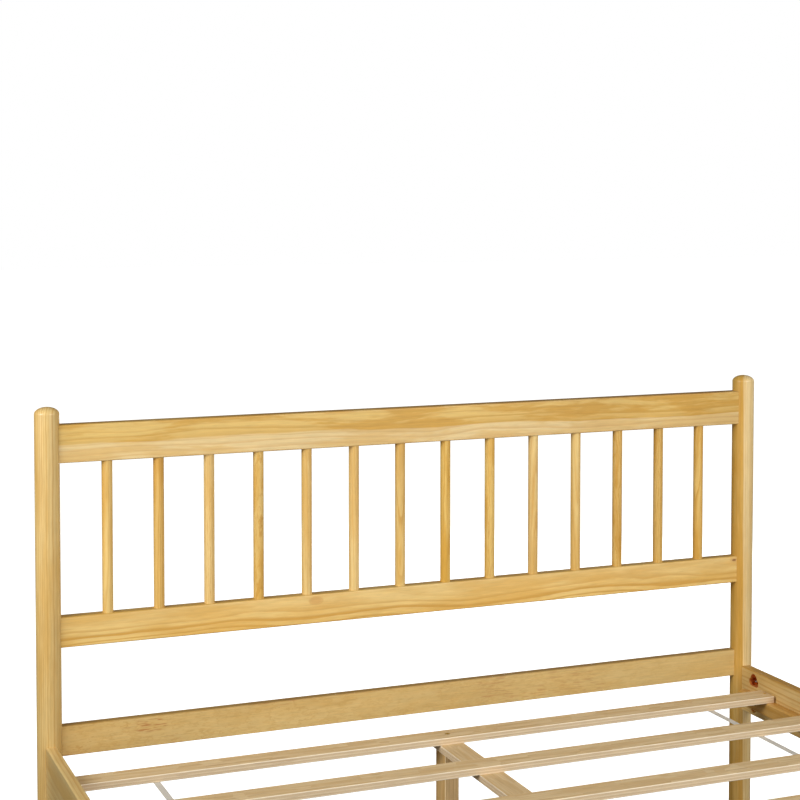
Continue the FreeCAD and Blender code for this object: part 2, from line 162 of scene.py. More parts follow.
def pine_material():
    """Lacquered pine, cut from a log: rings round a pith, a golden heart and pin knots.

    The piece's "log" attribute gives each point's place from the pith, with z along the grain.
    "tone" holds the heart's radius, the ring width and the shade. "figure" holds the ring
    contrast, the heart's strength (above 1 it turns amber, above 2 the red brown of a deep raw
    cut, darkened and reddened with painted shade and warm bounce light) and the knots' share.
    "sway" holds how far rings wander, the flames, and the curls of a board sawn along the rings.
    "mark" is the place from one chosen mark, in mark sizes."""
    n = Nodes("pine")
    log = n.attribute("log")
    heart_radius, ring_width, shade = n.split(n.attribute("tone"))
    contrast, gold, knotty = n.split(n.attribute("figure"))
    sway, flames, crossed = n.split(n.attribute("sway"))
    near_mark = n.ease(n.vector("LENGTH", n.attribute("mark")), 0.45, 1.0, 1.0, 0.0)
    curly = n.math("MULTIPLY", crossed, 10.0, clamp=True)
    across_log = (1, 1, 0)

    # How far rings leave their circles, in metres: in slow bends and in a fine ripple, and on a
    # board sawn along the rings in loose curls with feathered edges.
    bend_reach, ripple_reach, curl_reach, feather_reach = 0.034, 0.0035, 0.045, 0.016
    bends = n.centred(n.grain(log, 0.22, 9, 2, 0.6, colour=True))
    curls = n.centred(n.grain(log, 0.7, 17, 2, 0.5, colour=True))
    feather = n.centred(n.grain(log, 0.25, 260, 2, 0.6, colour=True))
    wander = n.gain(bends, n.math("MULTIPLY", sway, bend_reach))
    wander = n.vector("ADD", wander, n.gain(curls, n.math("MULTIPLY", crossed, curl_reach)))
    wander = n.vector("ADD", wander, n.gain(feather, n.math("MULTIPLY", crossed, feather_reach)))
    ripple = n.gain(n.centred(n.grain(log, 0.22, 60, colour=True)), ripple_reach)

    # Knots swell the rings round them, and so does the mark on a board without curls.
    knot_swell, mark_swell = 0.004, 0.007
    cell = n.add("TexVoronoi", {"Vector": n.vector("MULTIPLY", log, (1, 1, 0.45)),
                                "Scale": 16.0, "Randomness": 0.6})
    chosen = n.math("LESS_THAN", n.split(cell.outputs["Color"])[0], knotty)
    from_knot = cell.outputs["Distance"]
    swell = n.math("MULTIPLY", n.ease(from_knot, 0.03, 0.19, knot_swell, 0.0), chosen)
    knot = n.math("MULTIPLY", n.ease(from_knot, 0.035, 0.055, 1.0, 0.0), chosen)
    knot_rim = n.math("MULTIPLY", n.ease(from_knot, 0.05, 0.12, 1.0, 0.0), chosen)
    marked = n.math("MULTIPLY", near_mark, n.math("SUBTRACT", 1.0, curly))
    swell = n.math("MULTIPLY_ADD", marked, mark_swell, swell)

    # Rings: late wood darkens towards the end of each year, more in some years than in others.
    ring_spread = 0.009
    ringed = n.vector("ADD", n.vector("ADD", log, wander), ripple)
    depth = n.math("ADD", n.vector("LENGTH", n.vector("MULTIPLY", ringed, across_log)), swell)
    spread = n.add("TexNoise", {"W": depth, "Scale": 55.0, "Detail": 1.0},
                   noise_dimensions="1D").outputs[0]
    ring = n.math("DIVIDE", n.vary(depth, spread, ring_spread), ring_width)
    season = n.math("FRACT", ring)
    late = n.math("MULTIPLY", n.ease(season, 0.45, 0.90), n.ease(season, 0.92, 1.0, 1.0, 0.0))
    strength = n.math("MULTIPLY_ADD", n.random(n.math("FLOOR", ring)), 0.9, 0.45)
    late = n.math("MULTIPLY", n.math("MULTIPLY", late, strength), contrast, clamp=True)

    # The heart's edge keeps straighter than the rings.
    plain = n.vector("ADD", log, n.gain(n.vector("ADD", wander, ripple), 0.25))
    from_pith = n.vector("LENGTH", n.vector("MULTIPLY", plain, across_log))
    heart_edge = n.math("SUBTRACT", from_pith, heart_radius)
    heart_edge = n.vary(heart_edge, n.grain(log, 0.09, 55, 3), n.math("MULTIPLY", sway, 0.012))
    in_heart = n.ease(heart_edge, -0.001, 0.0025, 1.0, 0.0)
    heart = n.math("MULTIPLY", in_heart, gold, clamp=True)
    amber = n.math("MULTIPLY", in_heart, n.math("SUBTRACT", gold, 1.0), clamp=True)
    # deep: the red brown of raw wood in a pocket, darkened and reddened with painted shade and warm
    # bounce light
    deep = n.math("SUBTRACT", gold, 2.0, clamp=True)
    band = n.math("MULTIPLY", n.ease(heart_edge, -0.016, -0.003), heart)

    flame = n.vary(0.5, n.grain(n.vector("ADD", log, wander), 0.12, 34, 4, 0.62), flames)
    sap = n.mix(n.ease(flame, 0.38, 0.70), rgb(236, 207, 147), rgb(229, 192, 122))
    core = n.mix(n.ease(flame, 0.36, 0.62), rgb(232, 194, 108), rgb(216, 166, 66))
    core = n.mix(n.math("MULTIPLY", band, 0.45), core, rgb(212, 160, 60))
    amber_core = n.mix(n.ease(flame, 0.38, 0.66), rgb(214, 164, 92), rgb(196, 138, 66))
    core = n.mix(deep, n.mix(amber, core, amber_core), rgb(176, 84, 34))
    colour = n.mix(heart, sap, core)
    colour = n.mix(late, colour, n.mix(heart, rgb(214, 168, 98), rgb(206, 154, 56)))
    colour = n.mix(n.math("MULTIPLY", knot_rim, 0.45), colour, rgb(202, 150, 84))
    soft_eye = n.math("MULTIPLY", near_mark, n.math("MULTIPLY_ADD", curly, -0.6, 0.6))
    colour = n.mix(soft_eye, colour, rgb(206, 150, 78))
    colour = n.mix(n.math("MULTIPLY", knot, 0.85), colour, rgb(134, 84, 42))

    # Resin canals everywhere, and dashes of resin in the curls, above all near the mark.
    canal = n.ease(n.grain(log, 0.035, 640, 1), 0.68, 0.78)
    colour = n.mix(n.math("MULTIPLY", canal, 0.22), colour, rgb(150, 98, 48))
    streaky = n.ease(n.grain(log, 0.5, 13, 1), 0.56, 0.66, 0.0, 0.45)
    dashes = n.ease(n.grain(log, 0.10, 330, 1), 0.54, 0.64)
    dashes = n.math("MULTIPLY", dashes, n.math("MAXIMUM", streaky, near_mark))
    dashes = n.math("MULTIPLY", dashes, n.math("MULTIPLY", curly, 0.75))
    colour = n.mix(dashes, colour, rgb(192, 116, 52))

    fibre = n.grain(log, 0.012, 1500, 3, 0.6)
    level = n.vary(shade, n.grain(log, 0.30, 11), 0.20)
    level = n.vary(level, fibre, 0.16)
    level = n.vary(level, n.grain(log, 0.03, 420), 0.16)
    level = n.vary(level, n.grain(log, 0.13, 230, 2, 0.6), 0.20)
    height = n.math("ADD", n.math("MULTIPLY", fibre, 0.6), n.math("MULTIPLY", late, 0.5))
    return n.finish(Base_Color=n.gain(colour, level), Specular_IOR_Level=0.40,
                    Roughness=n.math("MULTIPLY_ADD", fibre, 0.16, 0.36),
                    Normal=n.bump(height, 0.00008, 0.6), Coat_Weight=0.45, Coat_Roughness=0.28)


def lumber_material():
    """Bare laminated veneer: plies across the "log" attribute's y, rotary figure on the faces.

    "tone" holds the ply's thickness, the board's thickness and the shade, "figure" the warmth."""
    n = Nodes("veneer_lumber")
    log = n.attribute("log")
    warmth = n.split(n.attribute("figure"))[1]
    ply_thickness, thickness, shade = n.split(n.attribute("tone"))
    depth = n.split(log)[1]
    ply_waviness = 0.0009
    wave = n.noise(n.vector("MULTIPLY", log, (0.6, 0.2, 0.6)), 14)
    layer = n.math("DIVIDE", n.vary(depth, wave, ply_waviness), ply_thickness)
    across = n.math("FRACT", layer)
    pick = n.random(n.math("FLOOR", layer))
    # how far in from the nearer face: the face itself, then a painted highlight along its edge,
    # then the inner plies
    inside = n.math("MINIMUM", depth, n.math("SUBTRACT", thickness, depth))
    face = n.ease(inside, 0.0001, 0.0005, 1.0, 0.0)
    not_face = n.math("SUBTRACT", 1.0, face)
    painted_arris_highlight = n.math("MULTIPLY", n.ease(inside, 0.0013, 0.0017, 1.0, 0.0), not_face)
    glue = n.math("MAXIMUM", n.ease(across, 0.0, 0.16, 1.0, 0.0), n.ease(across, 0.84, 1.0))
    glue = n.math("MULTIPLY", glue, n.ease(inside, 0.0008, 0.0013))
    # each ply comes from another place in the log
    shift = n.join(n.math("MULTIPLY", pick, 3.7), 0.0, n.math("MULTIPLY", pick, 9.1))
    log = n.vector("ADD", log, shift)
    fibre = n.grain(log, 0.012, 1300, 3, 0.65)
    streak = n.ease(n.grain(log, 0.03, 170), 0.62, 0.74)
    checks = n.ease(n.grain(log, 0.02, 520), 0.66, 0.74)
    figure = n.ease(n.grain(log, 0.05, 90, 3, 0.6), 0.36, 0.64)
    colour = n.mix(figure, rgb(225, 200, 156), rgb(212, 181, 132))
    inner = n.mix(pick, rgb(240, 222, 192), rgb(218, 192, 156))
    colour = n.mix(n.math("MULTIPLY", not_face, 0.75), colour, inner)
    # a near-white painted highlight along the arrises, next to each face
    colour = n.mix(n.math("MULTIPLY", painted_arris_highlight, 0.9), colour, rgb(252, 240, 216))
    colour = n.mix(n.math("MULTIPLY", glue, 0.50), colour, rgb(136, 100, 66))
    colour = n.mix(n.math("MULTIPLY", streak, 0.42), colour, rgb(168, 128, 84))
    colour = n.mix(n.math("MULTIPLY", checks, 0.55), colour, rgb(124, 88, 54))
    colour = n.mix(warmth, colour, n.vector("MULTIPLY", colour, (1.0, 0.86, 0.62)))
    level = n.vary(shade, n.grain(log, 0.08, 260, 2, 0.6), 0.30)
    level = n.vary(level, fibre, 0.34)
    height = n.math("SUBTRACT", fibre, n.math("MULTIPLY", glue, 0.6))
    return n.finish(Base_Color=n.gain(colour, level), Specular_IOR_Level=0.25,
                    Roughness=n.math("MULTIPLY_ADD", fibre, 0.2, 0.6),
                    Normal=n.bump(height, 0.00016, 0.7))


def metal_material(name, light, dark, roughness):
    """Plated steel with a fine brushed grain and small dull patches."""
    n = Nodes(name)
    place = n.add("TexCoord").outputs["Object"]
    patch = n.noise(place, 260, 3)
    return n.finish(Base_Color=n.mix(n.ease(patch, 0.3, 0.7), light, dark), Metallic=1.0,
                    Roughness=n.math("MULTIPLY_ADD", patch, 0.22, roughness),
                    Normal=n.bump(n.grain(place, 0.1, 2600), 0.00003, 0.4))


def webbing_material():
    """Grey polypropylene tape: a herringbone of yarns across and along."""
    weft_pitch, warp_pitch = 0.0022, 0.0016
    n = Nodes("webbing")
    place = n.add("TexCoord").outputs["Object"]
    x, y, _ = n.split(place)
    along = n.math("MULTIPLY", y, 2 * pi / weft_pitch)
    across = n.math("MULTIPLY", x, 2 * pi / warp_pitch)
    weft = n.math("SINE", n.math("ADD", along, across))
    warp = n.math("SINE", n.math("SUBTRACT", across, n.math("MULTIPLY", along, 0.5)))
    weave = n.math("MULTIPLY_ADD", n.math("ADD", weft, warp), 0.25, 0.5)
    worn = n.noise(place, 40, 3)
    colour = n.mix(weave, rgb(204, 199, 188), rgb(236, 231, 220))
    colour = n.gain(colour, n.math("MULTIPLY_ADD", worn, 0.16, 0.92))
    return n.finish(Base_Color=colour, Roughness=n.math("MULTIPLY_ADD", worn, 0.2, 0.62),
                    Normal=n.bump(weave, 0.0003, 0.8), Specular_IOR_Level=0.3)


def moulded_material():
    """Matt moulded plastic of the floor glides."""
    n = Nodes("plastic_glide")
    place = n.add("TexCoord").outputs["Object"]
    grain = n.noise(place, 2200, 2)
    cloud = n.noise(place, 60, 2)
    colour = n.mix(cloud, rgb(178, 162, 138), rgb(192, 176, 152))
    return n.finish(Base_Color=colour, Roughness=n.math("MULTIPLY_ADD", grain, 0.15, 0.5),
                    Normal=n.bump(grain, 0.00006, 0.5))


PINE = pine_material()
LUMBER = lumber_material()
ZINC = metal_material("zinc_steel", rgb(214, 216, 218), rgb(172, 176, 180), 0.24)
YELLOW_ZINC = metal_material("yellow_zinc", rgb(226, 190, 98), rgb(186, 150, 72), 0.34)
# Zinc for the nuts and washers, tinted copper as a painted reflection of the orange wood round them
# in the pockets.
ZINC_WITH_PAINTED_REFLECTION = metal_material("zinc_with_painted_reflection", rgb(212, 140, 84), rgb(160, 88, 46), 0.24)
WEBBING = webbing_material()
GLIDE = moulded_material()


# ---- Piece helpers ----------------------------------------------------------------------

# Edges sharper than this stay sharp, points closer than this are one, and faces that meet
# flatter than this are one.
sharp_angle, weld_distance, flat_angle = radians(32), 1e-6, radians(0.4)


def link(thing):
    bpy.context.scene.collection.objects.link(thing)


def new_piece(name, bm, material, slot, *nodes):
    """Links a mesh as a piece of the bed, in place of the CAD nodes named."""
    mesh = bpy.data.meshes.new(name)
    bm.to_mesh(mesh)
    bm.free()
    mesh.shade_smooth()
    mesh.set_sharp_from_angle(angle=sharp_angle)
    mesh.materials.append(material)
    piece = bpy.data.objects.new(name, mesh)
    link(piece)
    piece.modifiers.new("normals", "WEIGHTED_NORMAL").keep_sharp = True
    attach(piece, "root")
    if nodes:
        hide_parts(*nodes)
    return piece


def node_mesh(node):
    """The CAD node's own shape, welded."""
    bm = bmesh.new()
    bm.from_mesh(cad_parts[node].data)
    bmesh.ops.remove_doubles(bm, verts=bm.verts, dist=weld_distance)
    bmesh.ops.dissolve_degenerate(bm, edges=bm.edges, dist=weld_distance / 10)
    bmesh.ops.dissolve_limit(bm, angle_limit=flat_angle, verts=bm.verts, edges=bm.edges)
    return bm


def set_grain(piece, centre, along, across, pith, tilt=(0.0, 0.0), start=0.0,
              tone=(0.0, 0.006, 1.0), figure=(0.5, 1.0, 0.1), sway=(1.0, 1.0, 0.0),
              mark=None, mark_size=(0.012, 0.008), vary=()):
    """Stores where each point lay in the log, and the board's tone, figure and sway.

    mark is a place on the board, and mark_size its half length and half width. Each function in
    vary gives a point's factors on shade, contrast, gold and crossed grain."""
    far_from_mark = (9.0, 9.0, 9.0)
    third = along.cross(across)
    mesh = piece.data
    values = {"log": [], "tone": [], "figure": [], "sway": [], "mark": []}
    for vertex in mesh.vertices:
        p = vertex.co - centre
        u = p.dot(along)
        factors = [1.0, 1.0, 1.0, 1.0]
        for change in vary:
            factors = [a * b for a, b in zip(factors, change(vertex.co))]
        shade, contrast, gold, crossed = factors
        values["log"] += (p.dot(across) - pith[0] - tilt[0] * u,
                          p.dot(third) - pith[1] - tilt[1] * u, u + start)
        values["tone"] += (tone[0], tone[1], tone[2] * shade)
        values["figure"] += (figure[0] * contrast, figure[1] * gold, figure[2])
        values["sway"] += (sway[0], sway[1], sway[2] * crossed)
        if mark:
            off = vertex.co - mark
            values["mark"] += (off.dot(along) / mark_size[0], off.dot(across) / mark_size[1],
                               off.dot(third) / mark_size[0])
        else:
            values["mark"] += far_from_mark
    for name, numbers in values.items():
        mesh.attributes.new(name, "FLOAT_VECTOR", "POINT").data.foreach_set("vector", numbers)
    return piece


def node_centre(node):
    low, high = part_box(node)
    return (low + high) / 2


# The band along a board's top that counts as its top edge, where light and shade are painted.
# How far a pocket reaches along the rail from its nut, how far behind the face its raw wood
# with painted shade starts, and how far it stays from the rail's top and bottom.
edge_band = 0.0022
pocket_reach, pocket_lip, pocket_margin = 0.030, 0.0012, 0.008


def painted_top_light(node, shade, gold=1.0):
    """Painted light and shade on a board's top edge: a shade factor below 1 paints shade there,
    above 1 paints light, and gold browns the painted shade.
    """
    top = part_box(node)[1].z - edge_band + 1e-5
    return lambda place: (shade, 1.0, gold, 1.0) if place.z > top else (1.0, 1.0, 1.0, 1.0)


def fade(node, axis, low_end, high_end):
    """Factors that run evenly from one end of a piece to the other."""
    low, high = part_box(node)

    def factors(place):
        share = (place[axis] - low[axis]) / (high[axis] - low[axis])
        return [a + (b - a) * share for a, b in zip(low_end, high_end)]
    return factors


def shaded_raw_pockets(node, shade, gold):
    """Raw, redder wood inside the nuts' pockets of a side rail, made darker and redder still with
    painted shade and warm bounce light.
    """
    low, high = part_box(node)
    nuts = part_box("rail_nuts")

    def factors(place):
        near_nut = min(abs(place.y - nuts[0].y), abs(place.y - nuts[1].y)) < pocket_reach
        deep = (low.x + pocket_lip / 2 < place.x < high.x - pocket_lip / 2
                and low.z + pocket_margin < place.z < high.z - pocket_margin)
        return (shade, 1.0, gold, 1.0) if near_nut and deep else (1.0, 1.0, 1.0, 1.0)
    return factors


def board(node, along, across, cuts=(), **grain):
    """A piece with the CAD board's own shape, with its grain laid through it.

    cuts are planes, (normal, distance), at which its faces are cut so that the wood, and the light
    and shade painted on it, can differ."""
    bm = node_mesh(node)
    for normal, distance in cuts:
        everything = bm.verts[:] + bm.edges[:] + bm.faces[:]
        bmesh.ops.bisect_plane(bm, geom=everything, plane_co=normal * distance, plane_no=normal)
    piece = new_piece(node + ".wood", bm, PINE, "pine", node)
    return set_grain(piece, node_centre(node), along, across, **grain)


def below_top(node):
    """The cut that parts a board's top edge from its sides."""
    return (Z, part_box(node)[1].z - edge_band)


def circle(radius, height, count):
    """Points evenly round the vertical axis."""
    return [Vector((radius * cos(2 * pi * i / count), radius * sin(2 * pi * i / count), height))
            for i in range(count)]


def skin(bm, rings):
    """Adds the faces between rings of points, each ring closed. A ring may be a single point."""
    for low, high in zip(rings, rings[1:]):
        count = max(len(low), len(high))
        for i in range(count):
            j = (i + 1) % count
            corners = (low[i % len(low)], low[j % len(low)],
                       high[j % len(high)], high[i % len(high)])
            unique = list(dict.fromkeys(corners))
            if len(unique) > 2:
                bm.faces.new(unique)


def cap(bm, rings):
    """Closes the first and last ring."""
    bm.faces.new(rings[0])
    bm.faces.new(rings[-1][::-1])


def turned(bm, profile, segments, centre=Vector((0, 0, 0))):
    """Adds a turning about a vertical axis, from (radius, height) points, closed at its ends."""
    rings = []
    for radius, height in profile:
        points = [Z * height] if radius < weld_distance else circle(radius, height, segments)
        rings.append([bm.verts.new(centre + point) for point in points])
    skin(bm, rings)
    return rings


def aim(bm, rings, start, direction):
    """Turns rings modelled upwards from the origin to start at a point and run a given way."""
    verts = list(dict.fromkeys(vertex for ring in rings for vertex in ring))
    turn = Z.rotation_difference(direction).to_matrix().to_4x4()
    bmesh.ops.transform(bm, matrix=Matrix.Translation(start) @ turn, verts=verts)


# ---- Posts ------------------------------------------------------------------------------

dome_height, dome_steps = 0.0145, 16
foot_rounding = 0.002
post_segments = 64


def dome(top):
    """The post's rounded top, half an ellipse, up to the axis."""
    angles = [pi / 2 * i / dome_steps for i in range(dome_steps)]
    points = [(post_radius * cos(a), top - dome_height + dome_height * sin(a)) for a in angles]
    return points + [(0.0, top)]


def post(node, x, y, top, sway=(0.3, 0.9, 0.0), **grain):
    """A turned post, with painted shade that makes it darker and more golden towards the floor."""
    place = Vector((x, y, 0))
    bm = bmesh.new()
    foot = [(0.0, glide_height), (post_radius - foot_rounding, glide_height),
            (post_radius, glide_height + foot_rounding)]
    turned(bm, foot + dome(top), post_segments, place)
    piece = new_piece(node + ".wood", bm, PINE, "pine", node)
    # painted shade: darker and more golden low down, lighter towards the top
    set_grain(piece, place, Z, X, sway=sway,
              vary=[fade(node, 2, (0.86, 1, 1.25, 1), (1, 1, 1, 1))], **grain)


post("headboard_post_left", -post_x, head_y, head_post_top, pith=(-0.085, 0.012),
     tilt=(0.004, 0.003), start=3.1, tone=(0.200, 0.0048, 1.00), figure=(0.75, 0.40, 0.05),
     sway=(0.2, 0.9, 0.0))
post("headboard_post_right", post_x, head_y, head_post_top, pith=(-0.241, 0.164),
     tilt=(-0.010, 0.0), start=7.7, tone=(0.300, 0.0060, 1.04), figure=(0.60, 1.10, 0.06),
     mark=Vector((0.788, 1.005, 0.680)), mark_size=(0.006, 0.004))
post("foot_post_left", -post_x, foot_y, foot_post_top, pith=(0.020, -0.050),
     tilt=(0.006, 0.010), start=11.3, tone=(0.040, 0.0070, 1.00), figure=(0.55, 0.40, 0.06))
post("foot_post_right", post_x, foot_y, foot_post_top, pith=(-0.025, -0.045),
     tilt=(-0.010, 0.006), start=15.9, tone=(0.045, 0.0075, 0.98), figure=(0.50, 0.45, 0.06))


# ---- Rails, ledgers and spindles --------------------------------------------------------

# Rail tops get painted shade, darker and browner, except the left side rail's top, which gets
# painted light.
board("headboard_top_rail", X, Z, pith=(0.0958, 0.035), tilt=(-0.0057, 0.004), start=1.7,
      tone=(0.102, 0.013, 0.98), figure=(0.60, 1.0, 0.05), sway=(1.7, 2.1, 0.0),
      cuts=[below_top("headboard_top_rail")],
      vary=[painted_top_light("headboard_top_rail", 0.80, 1.4),
            fade("headboard_top_rail", 0, (1.02, 0.7, 0.85, 1), (0.94, 1.0, 1.14, 1))])
board("headboard_middle_rail", X, Z, pith=(0.026, 0.050), tilt=(-0.006, 0.004), start=5.2,
      tone=(0.200, 0.0085, 1.06), figure=(0.75, 0.60, 0.06), sway=(1.2, 0.9, 0.0),
      mark=Vector((-0.250, 1.017, 0.604)), mark_size=(0.020, 0.011),
      cuts=[below_top("headboard_middle_rail")],
      vary=[painted_top_light("headboard_middle_rail", 0.80, 1.8),
            fade("headboard_middle_rail", 2, (1.02, 1.6, 1.25, 1), (1, 0.15, 0.75, 1))])
board("headboard_bottom_rail", X, Z, pith=(0.0, 0.350), tilt=(0.0, 0.004), start=9.4,
      tone=(0.400, 0.0075, 0.88), figure=(0.42, 0.40, 0.0), sway=(0.6, 0.4, 1.0),
      mark=Vector((-0.605, 1.021, 0.377)), mark_size=(0.070, 0.018),
      cuts=[below_top("headboard_bottom_rail")],
      vary=[painted_top_light("headboard_bottom_rail", 0.72, 3.5),
            fade("headboard_bottom_rail", 0, (1, 1.6, 1, 1.1), (1, 0.4, 1, 0.8))])
board("foot_rail", X, Z, pith=(-0.030, -0.070), tilt=(0.006, 0.008), start=13.8,
      tone=(0.060, 0.0090, 0.96), figure=(0.60, 0.8, 0.10), cuts=[below_top("foot_rail")],
      vary=[painted_top_light("foot_rail", 0.85, 1.4)])
board("side_rail_left", Y, Z, pith=(0.030, 0.060), tilt=(0.006, 0.003), start=17.1,
      tone=(0.200, 0.0085, 0.76), figure=(0.60, 0.35, 0.10), sway=(0.6, 1.0, 0.0),
      cuts=[below_top("side_rail_left"), (X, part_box("side_rail_left")[1].x - pocket_lip)],
      vary=[painted_top_light("side_rail_left", 1.20), shaded_raw_pockets("side_rail_left", 1.9, 7.8)])
board("side_rail_right", Y, Z, pith=(-0.110, 0.020), tilt=(0.003, 0.004), start=23.5,
      tone=(0.200, 0.0090, 0.94), figure=(0.70, 0.30, 0.05), sway=(0.5, 0.8, 0.0),
      cuts=[below_top("side_rail_right"), (X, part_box("side_rail_right")[0].x + pocket_lip)],
      vary=[painted_top_light("side_rail_right", 0.84, 5.5), shaded_raw_pockets("side_rail_right", 1.6, 9.0)])
# The ledgers' amber gold (1.7) is painted warm bounce light in the shade under the slats.
board("ledger_left", Y, Z, pith=(0.040, 0.050), tilt=(0.003, 0.002), start=29.0,
      tone=(0.200, 0.0070, 0.96), figure=(0.50, 1.7, 0.15))
board("ledger_right", Y, Z, pith=(-0.035, 0.045), tilt=(0.003, 0.003), start=33.0,
      tone=(0.200, 0.0070, 0.96), figure=(0.50, 1.7, 0.15))

seeds = random.Random(5)
# shade, gold (above 1 amber), ring contrast, ring width and curl of each spindle, from the left
spindle_woods = (
    (1.02, 0.70, 0.45, 0.0060, 0.0), (0.98, 1.40, 0.70, 0.0050, 0.0),
    (1.02, 0.40, 0.60, 0.0040, 0.3), (0.99, 0.80, 0.85, 0.0060, 0.6),
    (1.01, 0.50, 0.55, 0.0050, 0.0), (1.03, 0.40, 0.60, 0.0070, 0.0),
    (1.00, 0.65, 0.65, 0.0050, 0.0), (1.00, 1.00, 0.60, 0.0060, 0.0),
    (0.99, 0.90, 0.60, 0.0045, 0.3), (1.01, 0.45, 0.65, 0.0060, 0.0),
    (1.00, 0.60, 0.50, 0.0055, 0.0), (0.97, 1.35, 0.75, 0.0050, 0.4),
    (0.96, 1.30, 0.75, 0.0060, 0.3), (0.97, 1.20, 0.70, 0.0050, 0.0))
for node, (shade, gold, contrast, ring_width, curl) in zip(spindle_names, spindle_woods):
    angle = seeds.uniform(0, 2 * pi)
    reach = seeds.uniform(0.03, 0.07)
    board(node, Z, X, pith=(reach * cos(angle), reach * sin(angle)),
          tilt=(seeds.uniform(-0.03, 0.03), seeds.uniform(-0.03, 0.03)),
          start=seeds.uniform(40, 90), tone=(0.2, ring_width, shade),
          figure=(contrast, gold, seeds.uniform(0.05, 0.35)), sway=(0.6, 1.2, curl))


# ---- Slatted base -----------------------------------------------------------------------

def lumber(node, along, across, start, shade=1.0, plies=9, warmth=0.0):
    """A piece of veneer lumber, with its plies stacked square to along and across."""
    piece = new_piece(node + ".wood", node_mesh(node), LUMBER, "veneer_lumber", node)
    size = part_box(node)[1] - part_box(node)[0]
    thickness = abs(size.dot(along.cross(across)))
    return set_grain(piece, node_centre(node), along, across, (0.0, -thickness / 2), start=start,
                     tone=(thickness / plies, thickness, shade), figure=(0.0, warmth, 0.0))


# Each slat is a little darker than the one before, a painted shade, with a small random difference
# in tone.
for i, node in enumerate(slat_names):
    lumber(node, X, Y, 3.0 * i, shade=1.08 - 0.012 * i + 0.03 * seeds.uniform(-1, 1),
           warmth=0.06)
lumber("centre_beam", Y, X, 41.0, warmth=0.15)
for i, node in enumerate(("centre_leg_head", "centre_leg_middle", "centre_leg_foot")):
    lumber(node, Z, Y, 47.0 + 5 * i, shade=0.97, plies=15, warmth=1.0)


def webbing_tape(node):
    """A taut tape with a thin rolled selvedge along both sides."""
    steps, selvedge, core = 180, 0.96, 0.88
    low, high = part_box(node)
    half, thick = (high.x - low.x) / 2, high.z - low.z
    section = [(-1.0, 0.35), (-selvedge, 0.0), (-core, 0.12), (core, 0.12), (selvedge, 0.0),
               (1.0, 0.35), (1.0, 0.65), (selvedge, 1.0), (core, 0.88), (-core, 0.88),
               (-selvedge, 1.0), (-1.0, 0.65)]
    bm = bmesh.new()
    rings = []
    for i in range(steps + 1):
        y = low.y + (high.y - low.y) * i / steps
        rings.append([bm.verts.new((low.x + half + half * x, y, low.z + thick * t))
                      for x, t in section])
    skin(bm, rings)
    cap(bm, rings)
    bmesh.ops.recalc_face_normals(bm, faces=bm.faces)
    piece = new_piece(node + ".webbing", bm, WEBBING, "webbing", node)


webbing_tape("slat_tape_left")
webbing_tape("slat_tape_right")


# ---- Metal and plastic ------------------------------------------------------------------

def round_radius(width):
    """The radius of the round bar that a CAD bar of eight sides stands for, from its width."""
    return width / 2 / cos(pi / 8)


def screw(bm, top, direction, radius, length, rise=0.0, wider=1.0):
    """A countersunk screw with a cross recess, driven along the direction from its head's middle.

    Its head may be wider than the CAD head's radius, and swells by rise above the wood."""
    head_radius, head_height, shank_radius = radius * wider, radius * 0.6, radius * 0.5
    point_length, rim = 0.008, 0.0003
    # the recess's arm length and width, and the width of its middle, in head radii
    arm_length, arm_width, core = 0.55, 0.11, 0.36
    bottom = [(0.0, -length), (shank_radius * 0.4, -length + point_length / 2),
              (shank_radius, -length + point_length), (shank_radius, -head_height),
              (head_radius, -rim)]
    crown = [(head_radius * share, rise * (1 - share ** 2))
             for share in (0.96, 0.85, 0.7, 0.6, 0.52, 0.44, 0.36, 0.28, 0.2, 0.12, 0.0)]
    rings = turned(bm, bottom + crown, 48)
    for ring in rings[len(bottom):]:
        for vertex in ring:
            x, y = abs(vertex.co.x), abs(vertex.co.y)
            arm = max(x, y) < head_radius * arm_length and min(x, y) < head_radius * arm_width
            middle = x + y < head_radius * core
            if arm or middle:
                vertex.co.z = -head_height * (0.75 if middle else 0.55)
    aim(bm, rings, top, -direction)


def islands(node):
    """The lowest and highest corner of each solid in a CAD node."""
    bm = node_mesh(node)
    seen, boxes = set(), []
    for first in bm.verts:
        if first in seen:
            continue
        stack, members = [first], []
        seen.add(first)
        while stack:
            vertex = stack.pop()
            members.append(vertex.co)
            for edge in vertex.link_edges:
                other = edge.other_vert(vertex)
                if other not in seen:
                    seen.add(other)
                    stack.append(other)
        boxes.append((Vector([min(c[k] for c in members) for k in range(3)]),
                      Vector([max(c[k] for c in members) for k in range(3)])))
    bm.free()
    return boxes


def screws_down(node, rise=0.0, wider=1.0):
    """Screws driven down through the slats."""
    bm = bmesh.new()
    for low, high in islands(node):
        middle = (low + high) / 2
        screw(bm, Vector((middle.x, middle.y, high.z)), -Z, round_radius(high.x - low.x),
              high.z - low.z, rise, wider)
    new_piece(node + ".steel", bm, YELLOW_ZINC, "yellow_zinc_screw", node)


def ledger_screws():
    """Screws driven outwards through the ledgers."""
    bm = bmesh.new()
    for low, high in islands("ledger_screws"):
        middle = (low + high) / 2
        on_right = middle.x > 0
        screw(bm, Vector((low.x if on_right else high.x, middle.y, middle.z)),
              X if on_right else -X, round_radius(high.z - low.z), high.x - low.x)
    new_piece("ledger_screws.steel", bm, YELLOW_ZINC, "yellow_zinc_screw", "ledger_screws")


def from_post(low, high):
    """The end of a stud or nut on its post's side, and the way from there along the rail."""
    middle = (low + high) / 2
    at_head = middle.y > 0
    return Vector((middle.x, high.y if at_head else low.y, middle.z)), -Y if at_head else Y


